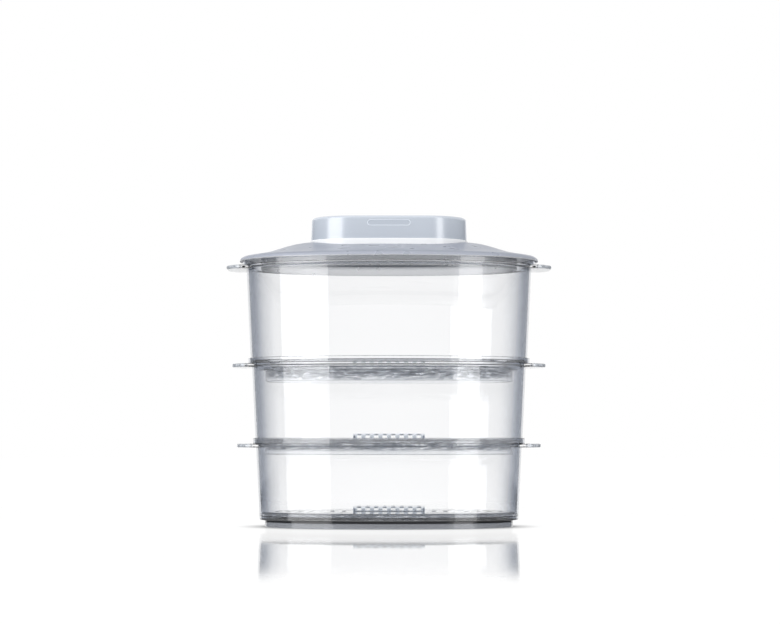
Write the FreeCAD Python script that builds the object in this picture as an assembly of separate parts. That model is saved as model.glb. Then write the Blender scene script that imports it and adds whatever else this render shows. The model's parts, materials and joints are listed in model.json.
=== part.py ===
"""Stacked steaming bowls of an electric food steamer: three clear bowls, lift-out floors and a lid.

Frame: millimetres, +Z up, origin in the middle of the footprint on the surface the stack stands on.
X runs from ear to ear, and the front is towards -Y. Every oval in the stack but the lid's dome belongs to
one family of parallel four-arc ovals, so an outline is named by its half width alone, and a wall is a
profile of (half width, height) points carried round the oval. The dome is lofted through ovals of its own.
"""

import math
import os

import FreeCAD
import Part

Vec = FreeCAD.Vector
UP = Vec(0, 0, 1)
OUT = "parts"

# ---- The oval family ----
END_CENTRE = 50.0  # the end arcs turn about x = +-END_CENTRE
SIDE_CENTRE = 120.0  # the front and back arcs turn about y = +-SIDE_CENTRE
ARC_GAP = math.hypot(END_CENTRE, SIDE_CENTRE)  # side radius less end radius, so the arcs are tangent
END_TURN = math.degrees(math.atan2(SIDE_CENTRE, END_CENTRE))  # half the sweep of an end arc

# ---- Walls and clearances ----
WALL = 2.2  # bowl wall
NEST_GAP = 0.4  # a bowl's foot inside the lip below it
FLOOR_GAP = 0.5  # a floor's skirt inside the bowl's opening
EDGE_ROUND = 0.6  # rounding of moulded edges

# ---- The lift-out floor, the same in every bowl ----
FLOOR_SKIRT = 119.4  # half width outside the skirt
SKIRT_DRAFT = 0.4  # how much narrower the skirt is at its bottom
SKIRT_WALL = 1.8
FLANGE_REACH = 2.4  # how far the flange stands out from the skirt
PLATE = 1.8  # plate and flange thickness
SEAT_UP = 12.8  # underside of the flange above the skirt's bottom
LEDGE = 2.2  # thickness of the bowl's ledge under the flange

# ---- Steam slots in the floor ----
SLOT_LENGTH = 9.0
SLOT_WIDTH = 4.0
SLOT_PITCH = 14.0  # along a ring of slots
RING_STEP = 11.0  # between rings of slots
RING_COUNT = 4
RING_EDGE = 11.4  # outermost ring, in from the skirt's outside
SIDE_COLUMNS = 2  # straight columns of slots at each end of the steam table
SIDE_SLOTS = 3  # slots in each column

# ---- Raised steam table in the middle of the floor ----
CELL = 8.16  # pitch of its windows, deck holes and fins
CELLS_ACROSS = 8
CELLS_DEEP = 5
TABLE_EDGE = 1.4  # deck beyond the outer cells
TABLE_RISE = 5.1  # deck top above the plate
TABLE_WALL = 1.6
WINDOW = 4.4  # window width
WINDOW_SILL = 0.4  # window's bottom above the plate
DECK_HOLE = 2.0  # hole radius
FIN = 1.6  # fin thickness under the plate
FIN_DROP = 7.8  # fin depth below the plate
FIN_REACH = 30.0  # half length of a fin

# ---- Bowls: half width outside the wall at its foot, and heights ----
BOTTOM_FOOT = 124.2
BOTTOM_RISE = 6.9  # the bottom bowl's foot above the surface, because its floor's skirt stands there
BOTTOM_TOP = 85.0  # top of its lip
MIDDLE_FOOT = 128.2
MIDDLE_TOP = 161.5
TOP_FOOT = 132.9
TOP_TOP = 255.5
TAPER = 0.0485  # widening per millimetre of height
LIP_DEPTH = 5.1  # the ledge that the next bowl stands on, below the lip's top
LIP_HEIGHT = 7.3  # the lip's outside face
LIP = 2.1  # lip thickness
LIP_ROOT = 1.2  # rise of the slope under the lip
TOP_FLOOR_DROP = 7.0  # the top bowl's floor ledge below its foot
FUNNEL_OUT = 4.3  # foot of the top bowl's funnel, out from the opening
FUNNEL_RUN = 5.0  # how far the funnel widens on its way up

# ---- Ears ----
EAR_REACH = 14.7  # beyond the lip
EAR_HALF = 34.0  # half its length front to back
EAR_THICK = 3.6
EAR_DROP = 7.3  # its middle below the lip's top
EAR_CORNER = 9.0
EAR_EDGE = 1.2  # rounding of its edges

# ---- Lid ----
BRIM_GAP = 0.7  # brim's inside to the top bowl's lip
BRIM_WALL = 2.0
BRIM_DROP = 1.5  # brim's edge below the lip's top
BRIM_TOP = 3.4  # brim's upper corner above the lip's top
BRIM_BEND_IN = 4.0  # that corner, in from the brim's outside
BRIM_BEND_UP = 1.6  # the brim's lower corner above the lip's top
BRIM_BEND_OUT = 0.8  # the lower corner, in from the brim's outside
BRIM_CURVE = 3.0  # rounding of both
LID_SKIRT = 123.3  # half width outside the locating skirt, which also fits the smallest bowl
LID_SKIRT_WALL = 1.8
LID_SKIRT_DROP = 9.4  # its bottom below the lip's top
LID_WALL = 2.2
CREASE = 119.6  # half width where the dome meets the brim
CREASE_UP = 6.9  # above the lip's top
SHOULDER = 104.0  # half width of the dome's shoulder
SHOULDER_DEPTH = 53.0  # its half depth
SHOULDER_UP = 11.7
RIDGE = 88.0  # half width where the dome bends over to its crown
RIDGE_DEPTH = 29.0
RIDGE_UP = 16.0
CROWN = 73.0  # half width of the flat crown under the handle
CROWN_DEPTH = 12.0
CROWN_UP = 17.5
ROUNDNESS = 0.1  # share of a dome oval's half depth that its front bulges by
REST_RIB = 1.2  # thickness of the rib that stands on the bowl's lip

# ---- Handle ----
HANDLE_HALF = 75.0  # half length
HANDLE_DEPTH = 42.0  # half depth, also the radius of its ends
HANDLE_HEIGHT = 21.8
HANDLE_DRAFT = 0.7  # narrower at the top by this on each side
HANDLE_WALL = 2.2
HANDLE_ROUND = 3.0
BASE_THICK = 1.6  # plate between the lid's crown and the handle
BASE_WALL = 2.4  # wall under the plate's edge, down to the dome
BASE_REACH = 0.8  # beyond the handle all round
RIM_SHARE = 0.9  # share of that reach that the rim's rounding takes
SCREW_X = 45.0
SCREW_SHANK = 1.75  # radius
SCREW_HEAD = 3.8  # radius
SCREW_HEAD_THICK = 2.2
SCREW_LENGTH = 15.0
CROSS_WIDE = 1.2  # cross recess in the head
CROSS_LONG = 4.4
CROSS_DEEP = 1.2
SCREW_GAP = 0.05  # shank in its boss, all round
SCREW_HOLE_GAP = 0.2  # shank in the plates it passes through
BOSS = 4.4  # radius
BADGE_HALF = 20.7
BADGE_HEIGHT = 6.2
BADGE_THICK = 1.2
BADGE_PROUD = 0.3
BADGE_GAP = 0.1
BADGE_DOWN = 6.9  # its middle below the handle's top
VENTS = 7  # slots in the handle's rear wall, with a hole through the lid below each
VENT_PITCH = 9.0
VENT_SLOT = 4.0
VENT_SLOT_HEIGHT = 9.0
VENT_UP = 5.0  # slot's bottom above the handle's underside
VENT_HOLE = 1.9  # radius
VENT_BACK = 12.0  # the holes' row, back from the middle


def rounded_wire(points, place):
    """A closed wire through (u, v, corner radius) points. place turns (u, v) into a vector."""
    count = len(points)
    starts, ends, middles = [], [], []
    for i, (u, v, radius) in enumerate(points):
        before, after = points[i - 1], points[(i + 1) % count]
        to_before = (before[0] - u, before[1] - v)
        to_after = (after[0] - u, after[1] - v)
        long_before, long_after = math.hypot(*to_before), math.hypot(*to_after)
        d1 = (to_before[0] / long_before, to_before[1] / long_before)
        d2 = (to_after[0] / long_after, to_after[1] / long_after)
        half = math.acos(max(-1.0, min(1.0, d1[0] * d2[0] + d1[1] * d2[1]))) / 2
        trim = min(radius / math.tan(half), 0.45 * long_before, 0.45 * long_after) if radius else 0.0
        starts.append((u + d1[0] * trim, v + d1[1] * trim))
        ends.append((u + d2[0] * trim, v + d2[1] * trim))
        to_centre = trim * math.tan(half) / math.sin(half) - trim * math.tan(half) if radius else 0.0
        bisector = (d1[0] + d2[0], d1[1] + d2[1])
        size = math.hypot(*bisector) or 1.0
        middles.append((u + bisector[0] / size * to_centre, v + bisector[1] / size * to_centre))
    edges = []
    for i in range(count):
        if points[i][2]:
            edges.append(Part.Arc(place(*starts[i]), place(*middles[i]), place(*ends[i])).toShape())
        edges.append(Part.LineSegment(place(*ends[i]), place(*starts[(i + 1) % count])).toShape())
    return Part.Wire(edges)


def joined(first, *others):
    """One clean solid from solids that touch or overlap."""
    return first.fuse(list(others)).removeSplitter().Solids[0]


def holed_plate(outline, holes, thick):
    """A flat plate of that outline, upwards from it, with a hole through it for each wire in holes."""
    face = Part.makeFace(Part.Compound([outline, *holes]), "Part::FaceMakerBullseye")
    return face.extrude(UP * thick)


def four_arcs(end_centre, side_centre, end_radius, z):
    """A closed oval of four tangent arcs at height z, turning about x = +-end_centre, y = +-side_centre."""
    side_radius = end_radius + math.hypot(end_centre, side_centre)
    end_turn = math.degrees(math.atan2(side_centre, end_centre))
    arcs = []
    for cx, cy, radius, middle, reach in (
        (end_centre, 0, end_radius, 0, end_turn),
        (0, -side_centre, side_radius, 90, 90 - end_turn),
        (-end_centre, 0, end_radius, 180, end_turn),
        (0, side_centre, side_radius, 270, 90 - end_turn),
    ):
        turns = [math.radians(middle + k * reach) for k in (-1, 0, 1)]
        points = [Vec(cx + radius * math.cos(t), cy + radius * math.sin(t), z) for t in turns]
        arcs.append(Part.Arc(*points).toShape())
    return Part.Wire(arcs)


def oval_wire(half_width, z):
    """One oval of the family at height z."""
    return four_arcs(END_CENTRE, SIDE_CENTRE, half_width - END_CENTRE, z)


def oval_ring(points):
    """A closed (half width, height, corner radius) profile carried round the oval family."""
    side_shift = ARC_GAP - SIDE_CENTRE - END_CENTRE
    end_face = Part.Face(rounded_wire(points, lambda u, v: Vec(u, 0, v)))
    side_face = Part.Face(rounded_wire(points, lambda u, v: Vec(0, u + side_shift, v)))
    sectors = []
    for face, centre, reach in (
        (end_face, Vec(END_CENTRE, 0, 0), END_TURN),
        (side_face, Vec(0, -SIDE_CENTRE, 0), 90 - END_TURN),
    ):
        face.rotate(centre, UP, -reach)
        sector = face.revolve(centre, UP, 2 * reach)
        opposite = sector.copy()
        opposite.rotate(Vec(0, 0, 0), UP, 180)
        sectors += [sector, opposite]
    return joined(*sectors)


def stadium_wire(half_length, radius, z):
    """A straight-sided outline with round ends."""
    straight = half_length - radius
    a, b = Vec(straight, -radius, z), Vec(straight, radius, z)
    c, d = Vec(-straight, radius, z), Vec(-straight, -radius, z)
    return Part.Wire(
        [
            Part.Arc(a, Vec(half_length, 0, z), b).toShape(),
            Part.LineSegment(b, c).toShape(),
            Part.Arc(c, Vec(-half_length, 0, z), d).toShape(),
            Part.LineSegment(d, a).toShape(),
        ]
    )


def slot_wire(x, y, turn, z, length=SLOT_LENGTH, width=SLOT_WIDTH):
    """An obround hole of that length, at (x, y), turned by turn degrees."""
    wire = stadium_wire(length / 2, width / 2, z)
    wire.rotate(Vec(0, 0, z), UP, turn)
    wire.translate(Vec(x, y, 0))
    return wire


def ring_stations(half_width):
    """Evenly spaced (x, y, direction) along an oval of the family, one for each slot of a ring."""
    end_radius = half_width - END_CENTRE
    side_radius = end_radius + ARC_GAP
    arcs = (
        (END_CENTRE, 0, end_radius, -END_TURN, END_TURN),
        (0, -SIDE_CENTRE, side_radius, END_TURN, 180 - END_TURN),
        (-END_CENTRE, 0, end_radius, 180 - END_TURN, 180 + END_TURN),
        (0, SIDE_CENTRE, side_radius, 180 + END_TURN, 360 - END_TURN),
    )
    total = sum(radius * math.radians(t1 - t0) for _, _, radius, t0, t1 in arcs)
    count = 2 * round(total / SLOT_PITCH / 2)
    stations = []
    along = total / count / 2
    for cx, cy, radius, t0, t1 in arcs:
        length = radius * math.radians(t1 - t0)
        while along < length:
            turn = t0 + math.degrees(along / radius)
            at = math.radians(turn)
            stations.append((cx + radius * math.cos(at), cy + radius * math.sin(at), turn + 90))
            along += total / count
        along -= length
    return stations


def evenly(count, pitch):
    """Places of a row of count things, pitch apart, about zero."""
    return [(i - (count - 1) / 2) * pitch for i in range(count)]


def box(x0, x1, y0, y1, z0, z1):
    """An upright box between opposite corners."""
    return Part.makeBox(x1 - x0, y1 - y0, z1 - z0, Vec(x0, y0, z0))


def steam_table(plate_z):
    """The raised deck with a window in its wall for each cell, open underneath."""
    half_x = CELLS_ACROSS * CELL / 2 + TABLE_EDGE
    half_y = CELLS_DEEP * CELL / 2 + TABLE_EDGE
    top = plate_z + PLATE + TABLE_RISE
    table = box(-half_x, half_x, -half_y, half_y, plate_z, top)
    inner_x, inner_y = half_x - TABLE_WALL, half_y - TABLE_WALL
    cuts = [box(-inner_x, inner_x, -inner_y, inner_y, plate_z, top - TABLE_WALL)]
    sill, head = plate_z + PLATE + WINDOW_SILL, top - TABLE_WALL
    for x in evenly(CELLS_ACROSS, CELL):
        cuts.append(box(x - WINDOW / 2, x + WINDOW / 2, -half_y, half_y, sill, head))
    for y in evenly(CELLS_DEEP, CELL):
        cuts.append(box(-half_x, half_x, y - WINDOW / 2, y + WINDOW / 2, sill, head))
    for x in evenly(CELLS_ACROSS, CELL):
        for y in evenly(CELLS_DEEP, CELL):
            cuts.append(Part.makeCylinder(DECK_HOLE, TABLE_WALL, Vec(x, y, top - TABLE_WALL)))
    return table.cut(cuts), half_x, half_y


def slot_places(table_half):
    """(x, y, direction) of every steam slot round a table of that half width."""
    places = []
    for ring in range(RING_COUNT):
        places += ring_stations(FLOOR_SKIRT - RING_EDGE - ring * RING_STEP)
    for column in range(SIDE_COLUMNS):
        x = table_half - SLOT_WIDTH / 2 + (column + 1) * RING_STEP
        for y in evenly(SIDE_SLOTS, SLOT_PITCH):
            places += [(x, y, 90), (-x, y, 90)]
    return places


def steam_floor(base):
    """A lift-out floor whose skirt stands at height base."""
    plate_z = base + SEAT_UP
    outside = FLOOR_SKIRT
    inside = outside - SKIRT_WALL
    rim = oval_ring(
        [
            (outside - SKIRT_DRAFT, base, EDGE_ROUND),
            (outside, plate_z, 0),
            (outside + FLANGE_REACH, plate_z, 0),
            (outside + FLANGE_REACH, plate_z + PLATE, EDGE_ROUND),
            (inside - SKIRT_WALL, plate_z + PLATE, 0),
            (inside - SKIRT_WALL, plate_z, 0),
            (inside, plate_z, 0),
            (inside - SKIRT_DRAFT, base, EDGE_ROUND),
        ]
    )
    table, half_x, half_y = steam_table(plate_z)
    inner_x, inner_y = half_x - TABLE_WALL, half_y - TABLE_WALL
    corners = [(inner_x, inner_y), (-inner_x, inner_y), (-inner_x, -inner_y), (inner_x, -inner_y)]
    holes = [Part.makePolygon([Vec(x, y, plate_z) for x, y in corners + corners[:1]])]
    holes += [slot_wire(x, y, turn, plate_z) for x, y, turn in slot_places(half_x)]
    plate = holed_plate(oval_wire(inside - SKIRT_WALL, plate_z), holes, PLATE)
    fins = [
        box(x - FIN / 2, x + FIN / 2, -FIN_REACH, FIN_REACH, plate_z - FIN_DROP, plate_z)
        for x in evenly(CELLS_ACROSS, CELL)
    ]
    return joined(rim, plate, table, *fins)


def ear(lip_outside, lip_top):
    """One ear, a flat tab at the +X end, from inside the lip outwards."""
    tip = lip_outside + EAR_REACH
    root = lip_outside - EAR_REACH
    middle = lip_top - EAR_DROP
    outline = [
        (root, -EAR_HALF, 0),
        (tip - EAR_CORNER, -EAR_HALF, EAR_CORNER),
        (tip, -EAR_HALF / 2, 2 * EAR_CORNER),
        (tip, EAR_HALF / 2, 2 * EAR_CORNER),
        (tip - EAR_CORNER, EAR_HALF, EAR_CORNER),
        (root, EAR_HALF, 0),
    ]
    base = middle - EAR_THICK / 2
    tab = Part.Face(rounded_wire(outline, lambda u, v: Vec(u, v, base))).extrude(UP * EAR_THICK)
    flat = [e for e in tab.Edges if e.BoundBox.ZLength < EAR_EDGE / 2]
    return tab.makeFillet(EAR_EDGE, [e for e in flat if e.BoundBox.XMax > root + EAR_EDGE])


def with_ears(bowl, foot, foot_z, lip_outside, lip_top):
    """The bowl with an ear at each end, joined to its wall and cleared from its inside."""
    low = lip_top - EAR_DROP - EAR_THICK
    inside = foot + TAPER * (low - foot_z) - WALL / 2
    tab = ear(lip_outside, lip_top).cut(holed_plate(oval_wire(inside, low), [], 2 * EAR_THICK))
    other = tab.copy()
    other.rotate(Vec(0, 0, 0), UP, 180)
    return joined(bowl, tab, other)


def lip_points(foot, foot_z, top, next_foot):
    """The wall's outside, the lip and the ledge inside it, for a bowl whose wall starts at foot."""
    wall_top = top - LIP_HEIGHT - LIP_ROOT
    ledge = top - LIP_DEPTH
    lip_inside = next_foot + NEST_GAP
    lip_outside = lip_inside + LIP
    points = [
        (foot, foot_z, EDGE_ROUND),
        (foot + TAPER * (wall_top - foot_z), wall_top, EDGE_ROUND),
        (lip_outside, top - LIP_HEIGHT, EDGE_ROUND),
        (lip_outside, top, EDGE_ROUND),
        (lip_inside, top, EDGE_ROUND),
        (lip_inside, ledge, 0),
        (foot + TAPER * (ledge - foot_z) - WALL, ledge, EDGE_ROUND),
    ]
    return points, lip_outside


def wall_inside(foot, foot_z, z):
    """Half width inside a bowl's wall at height z."""
    return foot + TAPER * (z - foot_z) - WALL


def bottom_bowl(base):
    """The bottom bowl: its floor's ledge stands inside the wall, above the wall's foot."""
    points, lip_outside = lip_points(BOTTOM_FOOT, BOTTOM_RISE, BOTTOM_TOP, MIDDLE_FOOT)
    opening = FLOOR_SKIRT + FLOOR_GAP
    seat = base + SEAT_UP
    points += [
        (wall_inside(BOTTOM_FOOT, BOTTOM_RISE, seat), seat, 0),
        (opening, seat, 0),
        (opening, seat - LEDGE, EDGE_ROUND),
        (wall_inside(BOTTOM_FOOT, BOTTOM_RISE, seat - LEDGE), seat - LEDGE, 0),
        (BOTTOM_FOOT - WALL, BOTTOM_RISE, EDGE_ROUND),
    ]
    return with_ears(oval_ring(points), BOTTOM_FOOT, BOTTOM_RISE, lip_outside, BOTTOM_TOP)


def middle_bowl(foot_z):
    """The middle bowl: its wall's foot turns in flat to the floor's ledge."""
    points, lip_outside = lip_points(MIDDLE_FOOT, foot_z, MIDDLE_TOP, TOP_FOOT)
    opening = FLOOR_SKIRT + FLOOR_GAP
    seat = foot_z + LEDGE
    points += [
        (wall_inside(MIDDLE_FOOT, foot_z, seat), seat, EDGE_ROUND),
        (opening, seat, 0),
        (opening, foot_z, EDGE_ROUND),
    ]
    return with_ears(oval_ring(points), MIDDLE_FOOT, foot_z, lip_outside, MIDDLE_TOP)


def top_bowl(foot_z):
    """The top bowl: a funnel leads down from its foot to the floor's ledge."""
    lid_foot = TOP_FOOT + TAPER * (TOP_TOP - foot_z) + LIP / 2
    points, lip_outside = lip_points(TOP_FOOT, foot_z, TOP_TOP, lid_foot)
    opening = FLOOR_SKIRT + FLOOR_GAP
    ledge = foot_z - TOP_FLOOR_DROP
    seat = ledge + LEDGE
    funnel_top = foot_z + LEDGE
    points += [
        (wall_inside(TOP_FOOT, foot_z, funnel_top), funnel_top, EDGE_ROUND),
        (opening + FLANGE_REACH + FUNNEL_RUN, funnel_top, EDGE_ROUND),
        (opening + FLANGE_REACH, seat, 0),
        (opening, seat, 0),
        (opening, ledge, EDGE_ROUND),
        (opening + FUNNEL_OUT, ledge, EDGE_ROUND),
        (opening + FUNNEL_OUT + FUNNEL_RUN, foot_z, 0),
    ]
    return with_ears(oval_ring(points), TOP_FOOT, foot_z, lip_outside, TOP_TOP), lip_outside


def dome_wire(half_width, half_depth, z):
    """An oval of that half width and half depth at height z, with ROUNDNESS for its front."""
    bulge = ROUNDNESS * half_depth
    end_centre = half_width - half_depth + bulge
    side_centre = (end_centre**2 - bulge**2) / (2 * bulge)
    return four_arcs(end_centre, side_centre, half_width - end_centre, z)


def dome(drop):
    """Everything inside the dome's outer surface, down to the brim's underside, lowered by drop."""
    base = TOP_TOP - drop
    foot = oval_wire(CREASE, base + CREASE_UP)
    sections = [
        foot,
        dome_wire(SHOULDER, SHOULDER_DEPTH, base + SHOULDER_UP),
        dome_wire(RIDGE, RIDGE_DEPTH, base + RIDGE_UP),
        dome_wire(CROWN, CROWN_DEPTH, base + CROWN_UP),
    ]
    cap = Part.makeLoft(sections, True, False)
    return joined(cap, Part.Face(foot).extrude(UP * -LID_WALL))


def lid(lip_outside):
    """The domed lid with its brim, rest rib and locating skirt, and its holes under the handle."""
    brim_inside = lip_outside + BRIM_GAP
    brim_outside = brim_inside + BRIM_WALL
    skirt_inside = LID_SKIRT - LID_SKIRT_WALL
    corner = brim_outside - BRIM_BEND_IN
    brim_slope = (CREASE_UP - BRIM_TOP) / (corner - CREASE)

    def under(half_width):
        """Height of the brim's underside."""
        return TOP_TOP + CREASE_UP - (half_width - CREASE) * brim_slope - LID_WALL

    rib_outside = lip_outside - (LIP - REST_RIB) / 2
    rib_inside = rib_outside - REST_RIB
    ring = oval_ring(
        [
            (CREASE, TOP_TOP + CREASE_UP, 0),
            (corner, TOP_TOP + BRIM_TOP, BRIM_CURVE),
            (brim_outside - BRIM_BEND_OUT, TOP_TOP + BRIM_BEND_UP, BRIM_CURVE),
            (brim_outside, TOP_TOP - BRIM_DROP, EDGE_ROUND),
            (brim_inside, TOP_TOP - BRIM_DROP, EDGE_ROUND),
            (brim_inside, TOP_TOP, 0),
            (rib_outside, TOP_TOP + BRIM_TOP - LID_WALL, 0),
            (rib_outside, TOP_TOP, 0),
            (rib_inside, TOP_TOP, 0),
            (rib_inside, under(rib_inside), 0),
            (LID_SKIRT, under(LID_SKIRT), 0),
            (LID_SKIRT, TOP_TOP - LID_SKIRT_DROP, EDGE_ROUND),
            (skirt_inside, TOP_TOP - LID_SKIRT_DROP, EDGE_ROUND),
            (skirt_inside, under(skirt_inside), 0),
            (CREASE, under(CREASE), 0),
        ]
    )
    shell = dome(0).cut(dome(LID_WALL))
    return joined(ring, shell).cut(through_holes(TOP_TOP + CROWN_UP - 2 * LID_WALL, 3 * LID_WALL))


def through_holes(z, height):
    """Cutters, upwards from z, for the steam and screw holes that the lid and the handle's base share."""
    screws = [(side * SCREW_X, 0, SCREW_SHANK + SCREW_HOLE_GAP) for side in (-1, 1)]
    vents = [(x, VENT_BACK, VENT_HOLE) for x in evenly(VENTS, VENT_PITCH)]
    return [Part.makeCylinder(r, height, Vec(x, y, z)) for x, y, r in screws + vents]


def handle_base(crown):
    """The plate between the lid's crown and the handle, with a wall under its edge down to the dome."""
    half, radius = HANDLE_HALF + BASE_REACH, HANDLE_DEPTH + BASE_REACH
    foot = TOP_TOP + CREASE_UP
    top = crown + BASE_THICK
    block = holed_plate(stadium_wire(half, radius, foot), [], top - foot)
    rim = [e for e in block.Edges if e.BoundBox.ZMin > top - BASE_THICK / 2]
    block = block.makeFillet(BASE_REACH * RIM_SHARE, rim)
    inside = stadium_wire(half - BASE_WALL, radius - BASE_WALL, foot)
    block = block.cut([holed_plate(inside, [], crown - foot), dome(0)])
    return block.cut(through_holes(crown - LID_WALL, 3 * LID_WALL)).removeSplitter().Solids[0]


def handle_block(z, shrink, height, draft):
    """A drafted solid of the handle's outline, smaller than it by shrink all round."""
    low = stadium_wire(HANDLE_HALF - shrink, HANDLE_DEPTH - shrink, z)
    high = stadium_wire(HANDLE_HALF - shrink - draft, HANDLE_DEPTH - shrink - draft, z + height)
    return Part.makeLoft([low, high], True, True)


def lid_handle(z):
    """The hollow handle: screw bosses inside, a recess for the badge, and steam slots at the rear."""
    top = z + HANDLE_HEIGHT
    body = handle_block(z, 0, HANDLE_HEIGHT, HANDLE_DRAFT)
    top_edges = [e for e in body.Edges if e.BoundBox.ZMin > top - HANDLE_ROUND / 2]
    body = body.makeFillet(HANDLE_ROUND, top_edges)
    body = body.cut(handle_block(z, HANDLE_WALL, HANDLE_HEIGHT - HANDLE_WALL, HANDLE_DRAFT))
    for side in (-1, 1):
        at = Vec(side * SCREW_X, 0, z)
        body = body.fuse(Part.makeCylinder(BOSS, HANDLE_HEIGHT - HANDLE_WALL / 2, at))
        body = body.cut(Part.makeCylinder(SCREW_SHANK + SCREW_GAP, SCREW_LENGTH, at))
    half, low, high = VENT_SLOT / 2, z + VENT_UP, z + VENT_UP + VENT_SLOT_HEIGHT
    for x in evenly(VENTS, VENT_PITCH):
        body = body.cut(box(x - half, x + half, HANDLE_DEPTH - 2 * HANDLE_WALL, HANDLE_DEPTH, low, high))
    return body.cut(badge(top, BADGE_GAP)).removeSplitter().Solids[0]


def badge(handle_top, grow=0.0):
    """The blank plate let into the handle's front, or with grow the recess that it sits in."""
    middle = handle_top - BADGE_DOWN
    front = -HANDLE_DEPTH - BADGE_PROUD
    wire = stadium_wire(BADGE_HALF + grow, BADGE_HEIGHT / 2 + grow, 0)
    wire.rotate(Vec(0, 0, 0), Vec(1, 0, 0), 90)
    wire.translate(Vec(0, front + HANDLE_DRAFT, middle))
    return Part.Face(wire).extrude(Vec(0, BADGE_THICK + grow, 0))


def handle_screws(lid_under):
    """Two pan-head screws, up through the lid and the base into the handle's bosses."""
    face = lid_under - SCREW_HEAD_THICK
    screws = []
    for side in (-1, 1):
        head = Part.makeCylinder(SCREW_HEAD, SCREW_HEAD_THICK, Vec(side * SCREW_X, 0, face))
        rim = [e for e in head.Edges if e.BoundBox.ZMax < lid_under - SCREW_HEAD_THICK / 2]
        head = head.makeFillet(SCREW_HEAD_THICK / 2, rim)
        shank = Part.makeCylinder(SCREW_SHANK, SCREW_LENGTH, Vec(side * SCREW_X, 0, lid_under))
        slot = box(-CROSS_WIDE / 2, CROSS_WIDE / 2, -CROSS_LONG / 2, CROSS_LONG / 2, 0, CROSS_DEEP)
        slot.translate(Vec(side * SCREW_X, 0, face))
        cross = slot.copy()
        cross.rotate(Vec(side * SCREW_X, 0, 0), UP, 90)
        screws.append(joined(head, shank).cut([slot, cross]).Solids[0])
    return Part.makeCompound(screws)


def build():
    """Every sub-part at rest, by node name."""
    middle_foot = BOTTOM_TOP - LIP_DEPTH
    top_foot = MIDDLE_TOP - LIP_DEPTH
    top_shape, lip_outside = top_bowl(top_foot)
    crown = TOP_TOP + CROWN_UP
    handle_z = crown + BASE_THICK
    return {
        "bottom_bowl": bottom_bowl(0),
        "bottom_floor": steam_floor(0),
        "middle_bowl": middle_bowl(middle_foot),
        "middle_floor": steam_floor(middle_foot + LEDGE - SEAT_UP),
        "top_bowl": top_shape,
        "top_floor": steam_floor(top_foot - TOP_FLOOR_DROP + LEDGE - SEAT_UP),
        "lid": lid(lip_outside),
        "handle_base": handle_base(crown),
        "lid_handle": lid_handle(handle_z),
        "handle_badge": badge(handle_z + HANDLE_HEIGHT),
        "handle_screws": handle_screws(crown - LID_WALL),
    }


os.makedirs(OUT, exist_ok=True)
for node, shape in build().items():
    shape.exportStep(f"{OUT}/{node}.step")
    print(f"{node}: {len(shape.Solids)} solid(s), valid {shape.isValid()}, {shape.Volume:.0f} mm3")
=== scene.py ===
"""Looks of a stack of clear steaming bowls: bowls, perforated floors, a grey domed lid and its handle, and the stage.

It is laid out as an add-on and runs as a script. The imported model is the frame: metres, +Z up, X from ear to
ear, the front towards -Y. Every oval in the stack belongs to one family of parallel four-arc ovals, so an
outline is named by its half width alone, and a wall is a profile carried round the oval.
"""

import json
import math

import bmesh
import bpy
from bpy.props import FloatProperty, FloatVectorProperty, PointerProperty
from mathutils import Matrix, Vector


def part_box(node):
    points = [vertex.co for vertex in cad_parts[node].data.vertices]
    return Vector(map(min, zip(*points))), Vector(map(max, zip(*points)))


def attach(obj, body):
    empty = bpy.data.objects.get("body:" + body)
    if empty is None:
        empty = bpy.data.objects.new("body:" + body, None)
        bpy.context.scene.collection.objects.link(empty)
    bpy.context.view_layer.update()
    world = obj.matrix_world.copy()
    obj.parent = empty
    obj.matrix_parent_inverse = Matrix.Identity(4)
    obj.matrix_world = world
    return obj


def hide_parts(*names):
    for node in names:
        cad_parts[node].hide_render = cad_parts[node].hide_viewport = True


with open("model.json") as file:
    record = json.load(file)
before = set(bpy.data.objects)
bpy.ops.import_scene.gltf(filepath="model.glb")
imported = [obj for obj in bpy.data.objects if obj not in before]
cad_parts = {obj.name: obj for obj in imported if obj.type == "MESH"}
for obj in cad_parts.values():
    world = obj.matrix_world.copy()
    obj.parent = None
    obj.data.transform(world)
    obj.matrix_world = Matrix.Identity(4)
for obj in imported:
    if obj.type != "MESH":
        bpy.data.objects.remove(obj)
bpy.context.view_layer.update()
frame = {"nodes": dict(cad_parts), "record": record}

bl_info = {
    "name": "Steaming Bowl Stack",
    "version": (1, 0, 0),
    "blender": (4, 5, 0),
    "location": "3D View > Sidebar > Steamer",
    "description": "Builds the clear bowls, the lid and the handle round the packed frame, and lights them",
    "category": "Object",
}

MM = 0.001
FLOORS = ("bottom_floor", "middle_floor", "top_floor")
VENTS = 7  # steam slots in the handle's back, each over a hole in the lid
SMOOTH_ANGLE = math.radians(38)  # edges sharper than this stay sharp
EDGE_SHADE_STOPS = ((0.0, 0.0), (0.3, 0.1), (0.45, 0.4), (0.62, 0.95), (0.75, 1.0), (1.0, 0.85))  # facing, share of the painted edge shade

# Ranges over which a finish changes, and its grain
SHADOW_LINE_STARTS, SHADOW_LINE_ENDS = (4.2 * MM, 5.2 * MM), (7.6 * MM, 8.4 * MM)  # heights of the painted shadow line round the stack's foot
FOOT_SHADE_ENDS = (6.5 * MM, 7.5 * MM)  # heights over which the bottom floor's foot, with its painted shade, ends
SKIRT_STARTS = (0.88, 0.9)  # squared reach from a floor's middle, whose edge is at 1
STREAK_NOISE = (0.64, 0.42)  # noise over which a skirt's painted streaks grow
STREAK_SCALE, STREAK_LENGTH = 110, 7  # that noise's scale, and a streak's length over its height
LID_OVER = (-0.7 * MM, -0.2 * MM)  # heights from the bowl's lip over which the lid's outside starts
LID_UPWARD = (-0.3, -0.1)  # upward part of a face's direction over which the lid's outside starts
SILVER_ROUGHNESS, SILVER_BEND = 0.22, 2.2  # satin silver-grey plastic with a strong sheen

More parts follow.
